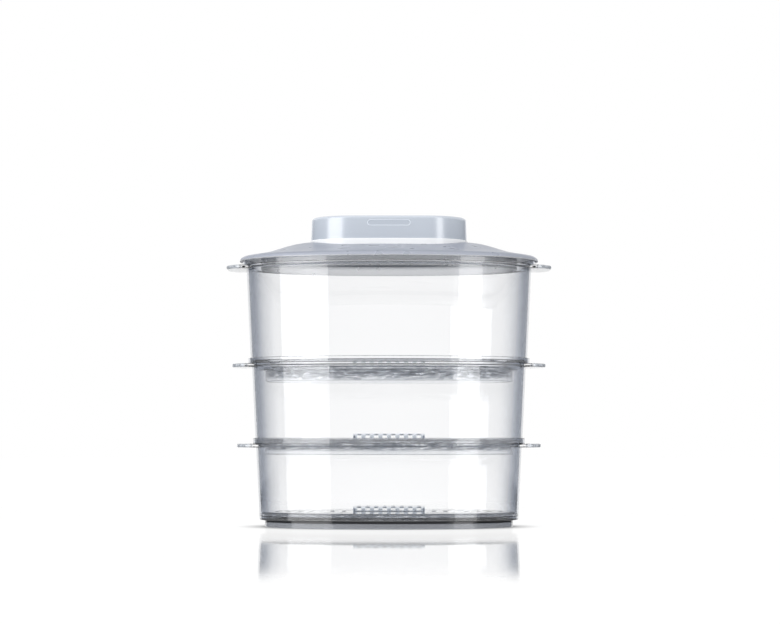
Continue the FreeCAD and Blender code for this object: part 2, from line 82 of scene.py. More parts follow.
# The stage, in metres and degrees, with azimuths from the front
BOUNCES = 32  # enough for rays that cross every wall of the stack
FLOOR_SIZE = 8
FLOOR_GLOW, FLOOR_GLOW_SHARE = 1.06, 0.85  # its own glow and the share of it, as against light that falls on it
FLOOR_ROUGHNESS = 0.03
MIRROR_FADE = ((0, 0), (0.06, 0), (0.35, 0.85), (0.58, 0.85), (0.7, 0.25), (0.9, 0.12), (1, 0.12))  # nearness, share
MIRROR_GRAZING = (0.9, 0.925)  # facing at which the floor begins to mirror, and where it does so in full
SOFTBOXES = (("softbox_left", -54, 22), ("softbox_right", 45, 8.2))  # name, azimuth, half angle
SOFTBOX_TALL = 3.0
OVERHEAD_PLACE, OVERHEAD_SIDE = (0, -0.2, 2.0), 1.6
CARDS = (("card_left", -150, -72, 0.06), ("card_right", 58, 150, 0.06), ("card_front", -34, 34, 0.35))  # azimuths, grey
CARD_COLUMNS = 12
SENSOR_WIDTH = 36  # millimetres
CLIP_END = 20


# ---- Properties ----


def length(name, description, millimetres):
    """A length property in metres, given in millimetres."""
    return FloatProperty(name=name, description=description, default=millimetres * MM, unit="LENGTH", precision=5)


def colour(name, description, rgb):
    """A scene-linear colour property."""
    return FloatVectorProperty(name=name, description=description, default=rgb, size=3, min=0, max=1, subtype="COLOR")


class SteamerSizes(bpy.types.PropertyGroup):
    """Sizes of the walls, lips, ears, lid and handle; the heights come from the frame."""

    end_centre: length("End centre", "Centre of an oval's end arcs, from the middle", 50)
    side_centre: length("Side centre", "Centre of an oval's side arcs, from the middle", 120)
    wall: length("Bowl wall", "Thickness of a bowl's wall", 2.2)
    edge_round: length("Edge rounding", "Radius of moulded edges", 0.6)
    taper: FloatProperty(name="Taper", description="Widening of a bowl for each unit of height", default=0.0485)
    lip: length("Lip", "Thickness of a bowl's lip", 2.1)
    lip_height: length("Lip height", "Outside face of the lip", 7.3)
    lip_root: length("Lip root", "Rise of the slope under the lip", 1.2)
    lip_depth: length("Lip depth", "The ledge inside the lip, below its top", 5.1)
    nest_gap: length("Nest gap", "A bowl's foot inside the lip below it", 0.4)
    ledge: length("Ledge", "Thickness of the ledge under a floor", 2.2)
    seat_up: length("Seat height", "The ledge's top above the floor's lowest edge", 12.8)
    floor_gap: length("Floor gap", "A floor's skirt inside the bowl's opening", 0.5)
    flange_reach: length("Flange reach", "A floor's flange beyond its skirt", 2.4)
    streaks_from: length("Streaks", "Where the skirt's streaks begin, above its lower edge", 3.0)
    funnel_out: length("Funnel foot", "Foot of the top bowl's funnel, out from the opening", 4.3)
    funnel_run: length("Funnel run", "How far the funnel widens on its way up", 5.0)
    funnel_drop: length("Funnel drop", "The top bowl's floor ledge below its foot", 7.0)
    ear_reach: length("Ear reach", "An ear's tip beyond the lip", 14.7)
    ear_half: length("Ear half length", "Half of an ear's length, front to back", 34)
    ear_thick: length("Ear thickness", "Thickness of an ear", 3.6)
    ear_drop: length("Ear drop", "An ear's middle below the lip's top", 7.3)
    ear_corner: length("Ear corner", "Radius of an ear's corners", 9)
    ear_edge: length("Ear edge", "Rounding of an ear's edges", 1.2)
    brim_gap: length("Brim gap", "Lid's brim to the top bowl's lip", 0.7)
    brim_wall: length("Brim wall", "Thickness of the lid's brim", 1.96)
    brim_drop: length("Brim drop", "Brim's edge below the bowl's lip", 1.5)
    brim_top: length("Brim top", "Brim's upper corner above the bowl's lip", 3.4)
    brim_bend_in: length("Brim bend in", "That corner, in from the brim's outside", 4.0)
    brim_bend_up: length("Brim bend height", "Brim's lower corner above the bowl's lip", 1.6)
    brim_bend_out: length("Brim bend out", "The lower corner, in from the brim's outside", 0.8)
    brim_curve: length("Brim curve", "Rounding of both corners", 3.0)
    lid_skirt: length("Lid skirt", "Half width outside the lid's locating skirt", 123.3)
    skirt_wall: length("Lid skirt wall", "Thickness of the locating skirt", 1.8)
    crease: length("Crease", "Half width where the dome meets the brim", 119.6)
    crease_up: length("Crease height", "Crease above the bowl's lip", 6.9)
    shoulder: length("Shoulder", "Half width of the dome's shoulder", 104)
    shoulder_deep: length("Shoulder depth", "Half depth of the dome's shoulder", 53)
    shoulder_up: length("Shoulder height", "Shoulder above the bowl's lip", 11.7)
    ridge: length("Ridge", "Half width where the dome bends over to its crown", 88)
    ridge_deep: length("Ridge depth", "Half depth there", 29)
    ridge_up: length("Ridge height", "Ridge above the bowl's lip", 16)
    crown: length("Crown", "Half width of the flat crown under the handle", 73)
    crown_deep: length("Crown depth", "Half depth of the crown", 12)
    roundness: FloatProperty(name="Roundness", description="How far a dome oval's front bulges, by depth", default=0.1)
    lid_wall: length("Lid wall", "Thickness of the lid", 2.2)
    rest_rib: length("Rest rib", "Thickness of the rib that stands on the bowl's lip", 1.2)
    handle_wall: length("Handle wall", "Thickness of the handle's shell", 2.2)
    handle_draft: length("Handle draft", "How much narrower the handle is at its top", 0.7)
    handle_round: length("Handle rounding", "Radius of the handle's top edge", 3.0)
    badge_rim: length("Badge rim", "Width of the badge's raised rim", 0.8)
    badge_rise: length("Badge rise", "Height of the badge's raised rim", 0.3)
    badge_gap: length("Badge gap", "Round the badge in its recess", 0.1)
    vent_pitch: length("Vent pitch", "From one steam vent to the next", 9)
    vent_hole: length("Vent hole", "Radius of a steam hole under the handle", 1.9)
    vent_back: length("Vent row", "The steam holes' row, back from the middle", 12)
    vent_slot: length("Vent slot", "Width of a steam slot in the handle's back", 4)
    vent_tall: length("Vent slot height", "Height of a steam slot", 9)
    vent_up: length("Vent slot rise", "A steam slot's bottom above the handle's underside", 5)
    screw_aside: length("Screw place", "A screw's axis from the middle", 45)
    screw_hole: length("Screw hole", "Radius of a screw's hole in the lid", 1.95)
    screw_shank: length("Screw bore", "Radius of a screw's bore in its boss", 1.8)
    screw_length: length("Screw length", "Depth of a screw's bore", 15)
    boss: length("Boss", "Radius of a screw boss", 4.4)


class SteamerColours(bpy.types.PropertyGroup):
    """Colours of the pieces, scene linear."""

    clear_face: colour("Clear, face on", "Tint of the clear bowls seen face on", (0.99, 0.992, 0.996))
    # painted shade: the clear bowls' darker, bluer tint where seen edge on
    clear_edge_shade: colour("Clear, edge on", "Tint of the clear bowls seen edge on", (0.33, 0.36, 0.42))
    # painted shade: a greyer tint on the clear ears
    ear: colour("Ear", "Tint of the ears", (0.62, 0.66, 0.72))
    # painted shadow: colour of the dark line round the stack's foot
    foot_shadow_line: colour("Foot line", "Dark line round the stack's foot", (0.03, 0.032, 0.036))
    floor_face: colour("Floor, face on", "Tint of the perforated floors seen face on", (0.70, 0.73, 0.77))
    # painted shade: the floors' darker tint where seen edge on
    floor_edge_shade: colour("Floor, edge on", "Tint of the perforated floors seen edge on", (0.16, 0.18, 0.21))
    floor_skirt: colour("Floor skirt", "Tint of the floors' skirts", (0.95, 0.957, 0.97))
    # painted reflection: colour of the streaks that stand in for slots seen through the skirts
    floor_painted_streak: colour("Floor streaks", "Tint of the streaks on the skirts", (0.27, 0.295, 0.335))
    # painted shade: darker, less clear tint on the bottom floor's skirt under the bowl
    floor_foot_shade: colour("Floor foot", "Tint of the bottom floor's skirt under the bowl", (0.60, 0.62, 0.66))
    lid_face: colour("Lid, face on", "Tint of the lid seen face on", (0.425, 0.452, 0.525))
    # painted shade: the lid's darker tint where seen edge on
    lid_edge_shade: colour("Lid, edge on", "Tint of the lid seen edge on", (0.32, 0.348, 0.42))
    lid_inside: colour("Lid, inside", "Tint of the lid's skirt and underside", (0.95, 0.96, 0.98))
    handle: colour("Handle", "Silver-grey body of the handle", (0.50, 0.55, 0.625))
    # painted highlight: the lighter colour on the badge's raised rim
    badge_rim: colour("Badge rim", "Bright rim of the blank badge", (0.74, 0.79, 0.86))
    trim: colour("Trim", "Pale plate under the handle", (0.95, 0.96, 0.97))
    screw: colour("Screw", "Stainless steel of the screws", (0.55, 0.55, 0.56))
    studio_floor: colour("Studio floor", "The floor under the stack", (0.93, 0.93, 0.93))


class SteamerStage(bpy.types.PropertyGroup):
    """Camera and light."""

    camera_distance: length("Camera distance", "From the middle of the stack", 2500)
    camera_height: length("Camera height", "Above the floor", 86)
    camera_aside: length("Camera aside", "To the right of the middle", 1)
    lens: FloatProperty(name="Lens", description="Focal length for a 36 mm wide sensor", default=119.8, min=20)
    tilt: FloatProperty(name="Tilt", description="How far it looks up", default=math.radians(2.754), subtype="ANGLE")
    softbox_distance: length("Softbox distance", "From the stack", 2000)
    softbox_glow: FloatProperty(name="Softbox glow", description="Radiance of a softbox's face", default=2.3, min=0)
    overhead_glow: FloatProperty(name="Overhead glow", description="Radiance of the overhead panel", default=0.5, min=0)
    ambient: FloatProperty(name="Ambient", description="Strength of the surroundings as light", default=0.75, min=0)
    below: length("Panel foot", "How far the softboxes and cards go down past the floor's level", 1000)
    # reach of the painted contact shadow on the floor
    contact_shadow_reach: length("Contact reach", "How far the dark line of contact reaches over the floor", 25)
    mirror_reach: length("Mirror reach", "How far round the stack the floor mirrors it", 1100)
    card_distance: length("Card distance", "Studio cards, from the stack", 2400)
    card_top: length("Card top", "Height of the studio cards", 600)


def sizes():
    """The scene's piece sizes."""
    return bpy.context.scene.steamer_sizes


def colours():
    """The scene's colours."""
    return bpy.context.scene.steamer_colours


def stage():
    """The scene's stage settings."""
    return bpy.context.scene.steamer_stage


# ---- Outlines: stations round an oval or a stadium ----


def arc_stations(x, y, start, end, count, shift):
    """count stations from start towards end degrees about (x, y): centre, direction, and radius less half width."""
    turns = [math.radians(start + (end - start) * i / count) for i in range(count)]
    return [(x, y, math.cos(t), math.sin(t), shift) for t in turns]


def four_arc_stations(ex, sy, ends=72, sides=56):
    """Stations of ovals whose arcs turn about x = +-ex and y = +-sy, from the +X tip round to it again."""
    gap = math.hypot(ex, sy)
    turn = math.degrees(math.atan2(sy, ex))
    return [
        *arc_stations(ex, 0, 0, turn, ends, -ex),
        *arc_stations(0, -sy, turn, 180 - turn, sides, gap - ex),
        *arc_stations(-ex, 0, 180 - turn, 180 + turn, 2 * ends, -ex),
        *arc_stations(0, sy, 180 + turn, 360 - turn, sides, gap - ex),
        *arc_stations(ex, 0, 360 - turn, 360, ends, -ex),
    ]


def oval_stations():
    """Stations of the oval family."""
    s = sizes()
    return four_arc_stations(s.end_centre, s.side_centre)


def dome_ring(half_width, half_depth, z):
    """A ring of points round an oval of that half width and half depth."""
    bulge = sizes().roundness * half_depth
    ex = half_width - half_depth + bulge
    stations = four_arc_stations(ex, (ex * ex - bulge * bulge) / (2 * bulge))
    return carried(stations, [(half_width, z)])[0]


def stadium_stations(straight, ends=24, sides=12):
    """Stations of straight-sided outlines with round ends, whose end centres are at x = +-straight."""
    across = [straight * (1 - 2 * i / sides) for i in range(sides)]
    return [
        *arc_stations(straight, 0, 0, 90, ends, 0),
        *[(x, 0, 0, 1, 0) for x in across],
        *arc_stations(-straight, 0, 90, 270, 2 * ends, 0),
        *[(-x, 0, 0, -1, 0) for x in across],
        *arc_stations(straight, 0, 270, 360, ends, 0),
    ]


# ---- Profiles and lofts ----


def rounded(points, closed=True, steps=4, least=0.15 * MM):
    """(u, v) points of a profile whose (u, v, radius) corners are rounded, each by an arc of steps pieces."""
    made = []
    count = len(points)
    for i, (u, v, radius) in enumerate(points):
        if not closed and i in (0, count - 1):
            made.append((u, v))
            continue
        here = Vector((u, v))
        back = Vector(points[i - 1][:2]) - here
        on = Vector(points[(i + 1) % count][:2]) - here
        half = back.angle(on) / 2
        if half > math.radians(89.5):
            made.append((u, v))
            continue
        trim = min(max(radius, least) / math.tan(half), 0.45 * back.length, 0.45 * on.length)
        start, end = here + back.normalized() * trim, here + on.normalized() * trim
        centre = here + (back.normalized() + on.normalized()).normalized() * (trim / math.cos(half))
        turn = (start - centre).angle_signed(end - centre)
        for k in range(steps + 1):
            spoke = (start - centre).copy()
            spoke.rotate(Matrix.Rotation(-turn * k / steps, 2))
            made.append(tuple(centre + spoke))
    return made


def carried(stations, profile):
    """A ring of points round the stations for each (u, v) of the profile."""
    return [[(x + dx * (u + shift), y + dy * (u + shift), v) for x, y, dx, dy, shift in stations] for u, v in profile]


def smooth_rings(rings, steps):
    """The rings of a smooth surface through all of rings, after the first, in that many steps."""
    at = [0.0]
    for a, b in zip(rings, rings[1:]):
        at.append(at[-1] + sum(math.dist(p, q) for p, q in zip(a, b)) / len(a))
    made = []
    for k in range(1, steps + 1):
        t = at[-1] * k / steps
        shares = [math.prod((t - v) / (u - v) for v in at if v != u) for u in at]
        made.append([sum((w * Vector(p) for w, p in zip(shares, points)), Vector())[:] for points in zip(*rings)])
    return made


def skin(name, rings, closed=True):
    """A mesh object through rings of as many points each. If it isn't closed, each end gets a cap across."""
    count, many = len(rings[0]), len(rings)
    faces = []
    for r in range(many if closed else many - 1):
        a, b = r * count, (r + 1) % many * count
        faces += [(a + i, a + (i + 1) % count, b + (i + 1) % count, b + i) for i in range(count)]
    if not closed:
        for start in (0, (many - 1) * count):
            for i in range(count // 2):
                ring = [start + n % count for n in (i, i + 1, count - i - 1, count - i)]
                faces.append(tuple(dict.fromkeys(ring)))
    mesh = bpy.data.meshes.new(name)
    mesh.from_pydata([point for ring in rings for point in ring], [], faces)
    mesh.validate()
    obj = bpy.data.objects.new(name, mesh)
    bpy.context.scene.collection.objects.link(obj)
    return obj


def loft(name, stations, profile, closed=True):
    """A mesh object: the profile carried round the stations. An open profile gets a cap across at each end."""
    return skin(name, carried(stations, profile), closed)


def outward(obj):
    """Turns every face of a closed mesh outwards."""
    work = bmesh.new()
    work.from_mesh(obj.data)
    bmesh.ops.recalc_face_normals(work, faces=work.faces)
    work.to_mesh(obj.data)
    work.free()


def combine(obj, tools, operation):
    """Joins tools to obj or cuts them from it, and removes them."""
    for tool in tools:
        step = obj.modifiers.new(operation, "BOOLEAN")
        step.object, step.operation, step.solver = tool, operation, "EXACT"
    depsgraph = bpy.context.evaluated_depsgraph_get()
    mesh = bpy.data.meshes.new_from_object(obj.evaluated_get(depsgraph))
    obj.modifiers.clear()
    obj.data = mesh
    mesh.name = obj.name
    for tool in tools:
        bpy.data.meshes.remove(tool.data)


def shade(obj):
    """Smooth faces, sharp edges where the surface turns hard, and normals that follow the larger faces."""
    obj.data.shade_smooth()
    obj.data.set_sharp_from_angle(angle=SMOOTH_ANGLE)
    step = obj.modifiers.new("normals", "WEIGHTED_NORMAL")
    step.keep_sharp = True
    step.weight = 90


def pillar(name, outline, levels):
    """A closed solid from a counterclockwise outline function: levels holds (inset, z) rings from the bottom up."""
    rings = [outline(inset, z) for inset, z in levels]
    count = len(rings[0])
    faces = [tuple(reversed(range(count)))]
    for r in range(len(rings) - 1):
        a, b = r * count, (r + 1) * count
        faces += [(a + i, a + (i + 1) % count, b + (i + 1) % count, b + i) for i in range(count)]
    faces.append(tuple(range((len(rings) - 1) * count, len(rings) * count)))
    mesh = bpy.data.meshes.new(name)
    mesh.from_pydata([p for ring in rings for p in ring], [], faces)
    obj = bpy.data.objects.new(name, mesh)
    bpy.context.scene.collection.objects.link(obj)
    return obj


def round_outline(x, y, radius, count=40):
    """A circle's outline function for pillar."""

    def outline(inset, z):
        """The circle's points at height z, drawn in by inset."""
        turns = [2 * math.pi * i / count for i in range(count)]
        return [(x + (radius - inset) * math.cos(t), y + (radius - inset) * math.sin(t), z) for t in turns]

    return outline


def box_outline(x0, x1, y0, y1):
    """A rectangle's outline function for pillar."""

    def outline(inset, z):
        """The rectangle's corners at height z, drawn in by inset."""
        a, b, c, d = x0 + inset, x1 - inset, y0 + inset, y1 - inset
        return [(a, c, z), (b, c, z), (b, d, z), (a, d, z)]

    return outline


def quarter(radius, low, high, steps=4):
    """(inset, z) levels of a slab with both edges rounded by radius."""
    turns = [math.pi / 2 * k / steps for k in range(steps + 1)]
    bottom = [(radius * (1 - math.sin(t)), low + radius * (1 - math.cos(t))) for t in turns]
    return bottom + [(inset, low + high - z) for inset, z in reversed(bottom)]


# ---- Materials ----


def new_material(name):
    """An empty node material: the material, its nodes, its links and the surface's output node."""
    material = bpy.data.materials.new(name)
    material.use_nodes = True
    nodes, links = material.node_tree.nodes, material.node_tree.links
    nodes.clear()
    output = nodes.new("ShaderNodeOutputMaterial")
    return material, nodes, links, output


def feed(links, value, socket):
    """Gives an input its value, which is another node's socket, or a number or colour."""
    if isinstance(value, bpy.types.NodeSocket):
        links.new(value, socket)
    else:
        socket.default_value = value


def turned_away(nodes):
    """The socket that is 0 where a surface is seen face on and 1 where it is seen edge on."""
    weight = nodes.new("ShaderNodeLayerWeight")
    weight.inputs["Blend"].default_value = 0.5
    return weight.outputs["Facing"]


def facing_ramp(nodes, links, stops):
    """A colour that changes as the surface turns away: stops holds (facing, colour) pairs, 0 is face on."""
    ramp = nodes.new("ShaderNodeValToRGB")
    elements = ramp.color_ramp.elements
    while len(elements) < len(stops):
        elements.new(0.5)
    for element, (at, rgb) in zip(elements, stops):
        element.position = at
        element.color = (*rgb, 1)
    links.new(turned_away(nodes), ramp.inputs["Fac"])
    return ramp.outputs["Color"]


def between(a, b, share):
    """The colour that share of the way from a to b."""
    return tuple(x + (y - x) * share for x, y in zip(a, b))


def fine_bump(nodes, links, scale, strength, distance=0.0002):
    """A faint moulding ripple."""
    where = nodes.new("ShaderNodeTexCoord")
    noise = nodes.new("ShaderNodeTexNoise")
    noise.inputs["Scale"].default_value = scale
    noise.inputs["Detail"].default_value = 2
    bump = nodes.new("ShaderNodeBump")
    bump.inputs["Strength"].default_value = strength
    bump.inputs["Distance"].default_value = distance
    links.new(where.outputs["Object"], noise.inputs["Vector"])
    links.new(noise.outputs["Fac"], bump.inputs["Height"])
    return bump.outputs["Normal"], noise.outputs["Fac"]


def varied_roughness(nodes, links, factor, low, high):
    """Roughness that varies with a noise."""
    spread = nodes.new("ShaderNodeMapRange")
    spread.inputs["To Min"].default_value = low
    spread.inputs["To Max"].default_value = high
    links.new(factor, spread.inputs["Value"])
    return spread.outputs["Result"]


def mixed_shaders(nodes, links, share, first, second):
    """The socket of a mix of two shaders, with that share of the second."""
    mix = nodes.new("ShaderNodeMixShader")
    for value, socket in zip((share, first, second), mix.inputs):
        links.new(value, socket)
    return mix.outputs["Shader"]


def let_lamps_through(nodes, links, shader, output, shade_colour):
    """Lamps shine through the surface, dimmed a little, in place of slow bent shadows."""
    path = nodes.new("ShaderNodeLightPath")
    through = nodes.new("ShaderNodeBsdfTransparent")
    through.inputs["Color"].default_value = (*shade_colour, 1)
    mix = mixed_shaders(nodes, links, path.outputs["Is Shadow Ray"], shader, through.outputs["BSDF"])
    links.new(mix, output.inputs["Surface"])


def clear_material(name, face, edge, roughness, ripple, shade_colour, clarity=1.0, bend=1.49):
    """Clear or, with less clarity, milky moulded plastic, darker and bluer where it is seen edge on: that edge tint is
    painted shade, standing in for dark reflections along the edges.
    """
    material, nodes, links, output = new_material(name)
    shader = nodes.new("ShaderNodeBsdfPrincipled")
    shader.inputs["Transmission Weight"].default_value = clarity
    shader.inputs["IOR"].default_value = bend
    normal, noise = fine_bump(nodes, links, 60, ripple)
    # the edge-on colour is painted shade that darkens the surface towards its silhouettes
    stops = [(at, between(face, edge, share)) for at, share in EDGE_SHADE_STOPS]
    links.new(facing_ramp(nodes, links, stops), shader.inputs["Base Color"])
    links.new(varied_roughness(nodes, links, noise, roughness * 0.7, roughness * 1.3), shader.inputs["Roughness"])
    links.new(normal, shader.inputs["Normal"])
    let_lamps_through(nodes, links, shader.outputs["BSDF"], output, shade_colour)
    return material


def satin_material(name, rgb, roughness, metallic=0.0, ripple=0.15, scale=900, bend=1.5):
    """Opaque moulded plastic or metal with a fine grain."""
    material, nodes, links, output = new_material(name)
    shader = nodes.new("ShaderNodeBsdfPrincipled")
    shader.inputs["Base Color"].default_value = (*rgb, 1)
    shader.inputs["Metallic"].default_value = metallic
    shader.inputs["IOR"].default_value = bend
    normal, noise = fine_bump(nodes, links, scale, ripple, 0.00005)
    links.new(varied_roughness(nodes, links, noise, roughness * 0.85, roughness * 1.15), shader.inputs["Roughness"])
    links.new(normal, shader.inputs["Normal"])
    links.new(shader.outputs["BSDF"], output.inputs["Surface"])
    return material


def place_parts(nodes, links, output="Object"):
    """The x, y and z sockets of a point or, with Normal for output, of the way its surface faces."""
    where = nodes.new("ShaderNodeTexCoord")
    parts = nodes.new("ShaderNodeSeparateXYZ")
    links.new(where.outputs[output], parts.inputs["Vector"])
    return parts.outputs["X"], parts.outputs["Y"], parts.outputs["Z"]


def combined(nodes, links, operation, a, b=None):
    """The socket of a math node; a and b are sockets or numbers."""
    step = nodes.new("ShaderNodeMath")
    step.operation = operation
    for value, socket in zip((a, b), step.inputs):
        if value is not None:
            feed(links, value, socket)
    return step.outputs["Value"]


def sum_of_squares(nodes, links, a, b):
    """The socket of a * a + b * b."""
    squares = [combined(nodes, links, "MULTIPLY", value, value) for value in (a, b)]
    return combined(nodes, links, "ADD", *squares)


def rising(nodes, links, value, start, end):
    """0 where value is under start, 1 where it is over end, and even between them."""
    spread = nodes.new("ShaderNodeMapRange")
    spread.inputs["From Min"].default_value = start
    spread.inputs["From Max"].default_value = end
    links.new(value, spread.inputs["Value"])
    return spread.outputs["Result"]


def blended(nodes, links, kind, first, second, share):
    """The socket of a mix of two sockets or values, which are colours (RGBA) or numbers (FLOAT)."""
    mix = nodes.new("ShaderNodeMix")
    mix.data_type = kind
    live = {socket.name: socket for socket in mix.inputs if socket.enabled}
    for value, name in ((share, "Factor"), (first, "A"), (second, "B")):
        feed(links, value, live[name])
    return next(socket for socket in mix.outputs if socket.enabled)


def add_zone(material, mask, rgb, clarity):
    """Gives a clear material another tint and clarity where mask(nodes, links) is 1. rgb may be such a function too."""
    nodes, links = material.node_tree.nodes, material.node_tree.links
    shader = next(node for node in nodes if node.type == "BSDF_PRINCIPLED")
    where = mask(nodes, links)
    tint = rgb(nodes, links) if callable(rgb) else (*rgb, 1)
    for name, kind, value in (("Base Color", "RGBA", tint), ("Transmission Weight", "FLOAT", clarity)):
        target = shader.inputs[name]
        before = target.links[0].from_socket if target.links else target.default_value
        links.new(blended(nodes, links, kind, before, value, where), target)


def foot_shadow_line(nodes, links):
    """Painted shadow: the dark line round the stack's foot, where the bottom bowl ends over its floor's skirt."""
    _, _, z = place_parts(nodes, links)
    starts, ends = rising(nodes, links, z, *SHADOW_LINE_STARTS), rising(nodes, links, z, *SHADOW_LINE_ENDS)
    return combined(nodes, links, "SUBTRACT", starts, ends)


def finish_with(obj, material):
    """Puts one material on all of obj."""
    obj.data.materials.clear()
    obj.data.materials.append(material)


def seen_ray(nodes, links):
    """1 for rays from the camera and for rays that a surface mirrors or lets through, otherwise 0."""
    path = nodes.new("ShaderNodeLightPath")
    total = path.outputs["Is Camera Ray"]
    for kind in ("Is Glossy Ray", "Is Transmission Ray"):
        total = combined(nodes, links, "MAXIMUM", total, path.outputs[kind])
    return total


# ---- Operators ----


class STEAMER_OT_stage(bpy.types.Operator):
    """Add the studio floor, the surroundings, the softboxes, the dark cards and the camera"""

    bl_idname = "steamer.stage"
    bl_label = "Stage"

    def execute(self, context):
        scene, s = context.scene, stage()
        scene.view_settings.view_transform = "Standard"
        scene.cycles.max_bounces = BOUNCES
        scene.cycles.transmission_bounces = BOUNCES
        scene.cycles.transparent_max_bounces = BOUNCES
        scene.cycles.glossy_bounces = 6
        scene.cycles.caustics_reflective = False
        scene.cycles.caustics_refractive = False
        self.add_world(scene, s)
        self.add_floor(scene, s)
        self.add_lights(scene, s)
        self.add_cards(scene, s)
        self.add_camera(scene, s)
        return {"FINISHED"}

    def add_world(self, scene, s):
        """White where it is seen or mirrored, and plain soft light."""
        world = bpy.data.worlds.new("studio")
        scene.world = world
        world.use_nodes = True
        nodes, links = world.node_tree.nodes, world.node_tree.links
        nodes.clear()
        strength = nodes.new("ShaderNodeMapRange")
        strength.inputs["To Min"].default_value = s.ambient
        strength.inputs["To Max"].default_value = 1
        background = nodes.new("ShaderNodeBackground")
        background.inputs["Color"].default_value = (1, 1, 1, 1)
        output = nodes.new("ShaderNodeOutputWorld")
        links.new(seen_ray(nodes, links), strength.inputs["Value"])
        links.new(strength.outputs["Result"], background.inputs["Strength"])
        links.new(background.outputs["Background"], output.inputs["Surface"])

    def add_floor(self, scene, s):
        """A wide pale floor. What stands on it doesn't mirror it."""
        mesh = bpy.data.meshes.new("studio_floor")
        work = bmesh.new()
        bmesh.ops.create_grid(work, x_segments=4, y_segments=4, size=FLOOR_SIZE)
        work.to_mesh(mesh)
        work.free()
        floor = bpy.data.objects.new("studio_floor", mesh)
        scene.collection.objects.link(floor)
        finish_with(floor, self.floor_material(s))
        floor.visible_glossy = False

    def floor_material(self, s):
        """Pale, with a painted contact shadow from ambient occlusion in its glow, and a gloss round the stack."""
        material, nodes, links, output = new_material("studio_floor")
        matte = nodes.new("ShaderNodeBsdfDiffuse")
        matte.inputs["Color"].default_value = (*colours().studio_floor, 1)
        # painted contact shadow: ambient occlusion darkens the floor's glow under the stack
        contact = nodes.new("ShaderNodeAmbientOcclusion")
        contact.inputs["Distance"].default_value = s.contact_shadow_reach
        glow = nodes.new("ShaderNodeEmission")
        glow.inputs["Strength"].default_value = FLOOR_GLOW
        links.new(contact.outputs["Color"], glow.inputs["Color"])
        share = combined(nodes, links, "MULTIPLY", seen_ray(nodes, links), FLOOR_GLOW_SHARE)
        lit = mixed_shaders(nodes, links, share, matte.outputs["BSDF"], glow.outputs["Emission"])
        gloss = nodes.new("ShaderNodeBsdfGlossy")
        gloss.inputs["Color"].default_value = (1, 1, 1, 1)
        gloss.inputs["Roughness"].default_value = FLOOR_ROUGHNESS
        polished = mixed_shaders(nodes, links, self.mirror_share(nodes, links, s), lit, gloss.outputs["BSDF"])
        links.new(polished, output.inputs["Surface"])
        return material

    def mirror_share(self, nodes, links, s):
        """How much the floor mirrors: only round the stack, and only where it is seen at a low angle."""
        fade = nodes.new("ShaderNodeFloatCurve")
        curve = fade.mapping.curves[0]
        curve.points[0].location, curve.points[1].location = MIRROR_FADE[0], MIRROR_FADE[-1]
        for at, share in MIRROR_FADE[1:-1]:
            curve.points.new(at, share)
        fade.mapping.update()
        x, y, _ = place_parts(nodes, links)
        away = combined(nodes, links, "SQRT", sum_of_squares(nodes, links, x, y))
        links.new(rising(nodes, links, away, s.mirror_reach, 0), fade.inputs["Value"])
        grazing = rising(nodes, links, turned_away(nodes), *MIRROR_GRAZING)
        return combined(nodes, links, "MULTIPLY", fade.outputs["Value"], grazing)

    def add_lights(self, scene, s):
        """Two tall softboxes in front, one to each side, and a panel overhead."""
        for name, azimuth, half_angle in SOFTBOXES:
            turn = math.radians(azimuth)
            wide = 2 * s.softbox_distance * math.tan(math.radians(half_angle))
            place = Vector((math.sin(turn), -math.cos(turn), 0)) * s.softbox_distance
            place.z = 0.5 * SOFTBOX_TALL - s.below
            self.add_panel(scene, name, place, Vector((0, 0, place.z)), wide, SOFTBOX_TALL, s.softbox_glow)
        place = Vector(OVERHEAD_PLACE)
        self.add_panel(scene, "overhead", place, Vector(), OVERHEAD_SIDE, OVERHEAD_SIDE, s.overhead_glow)

    def add_panel(self, scene, name, place, target, wide, tall, glow):
        """A rectangular lamp at place that faces target, with glow as the radiance of its face."""
        lamp = bpy.data.lights.new(name, "AREA")
        lamp.shape = "RECTANGLE"
        lamp.size, lamp.size_y = wide, tall
        lamp.energy = glow * wide * tall * math.pi
        panel = bpy.data.objects.new(name, lamp)
        panel.location = place
        panel.rotation_euler = (target - place).to_track_quat("-Z", "Y").to_euler()
        panel.visible_camera = False
        scene.collection.objects.link(panel)

    def add_cards(self, scene, s):
        """Dark upright cards round the stack, which only show where a surface mirrors them."""
        for name, start, end, grey in CARDS:
            self.add_card(scene, s, name, start, end, grey)

    def add_card(self, scene, s, name, start, end, grey):
        """An upright strip of a cylinder between two azimuths."""
        points, faces = [], []
        for i in range(CARD_COLUMNS + 1):
            turn = math.radians(start + (end - start) * i / CARD_COLUMNS)
            x, y = s.card_distance * math.sin(turn), -s.card_distance * math.cos(turn)
            points += [(x, y, -s.below), (x, y, s.card_top)]
        for i in range(CARD_COLUMNS):
            faces.append((2 * i, 2 * i + 2, 2 * i + 3, 2 * i + 1))
        mesh = bpy.data.meshes.new(name)
        mesh.from_pydata(points, [], faces)
        card = bpy.data.objects.new(name, mesh)
        scene.collection.objects.link(card)
        material, nodes, links, output = new_material(name)
        glow = nodes.new("ShaderNodeEmission")
        glow.inputs["Color"].default_value = (grey, grey, grey, 1)
        links.new(glow.outputs["Emission"], output.inputs["Surface"])
        finish_with(card, material)
        card.visible_camera = card.visible_diffuse = card.visible_transmission = card.visible_shadow = False

    def add_camera(self, scene, s):
        """A long lens, level with the lower bowls, looking slightly up."""
        lens = bpy.data.cameras.new("camera")
        lens.lens = s.lens
        lens.sensor_width = SENSOR_WIDTH
        lens.clip_end = CLIP_END
        camera = bpy.data.objects.new("camera", lens)
        camera.location = (s.camera_aside, -s.camera_distance, s.camera_height)
        camera.rotation_euler = (math.pi / 2 + s.tilt, 0, 0)
        scene.collection.objects.link(camera)
        scene.camera = camera


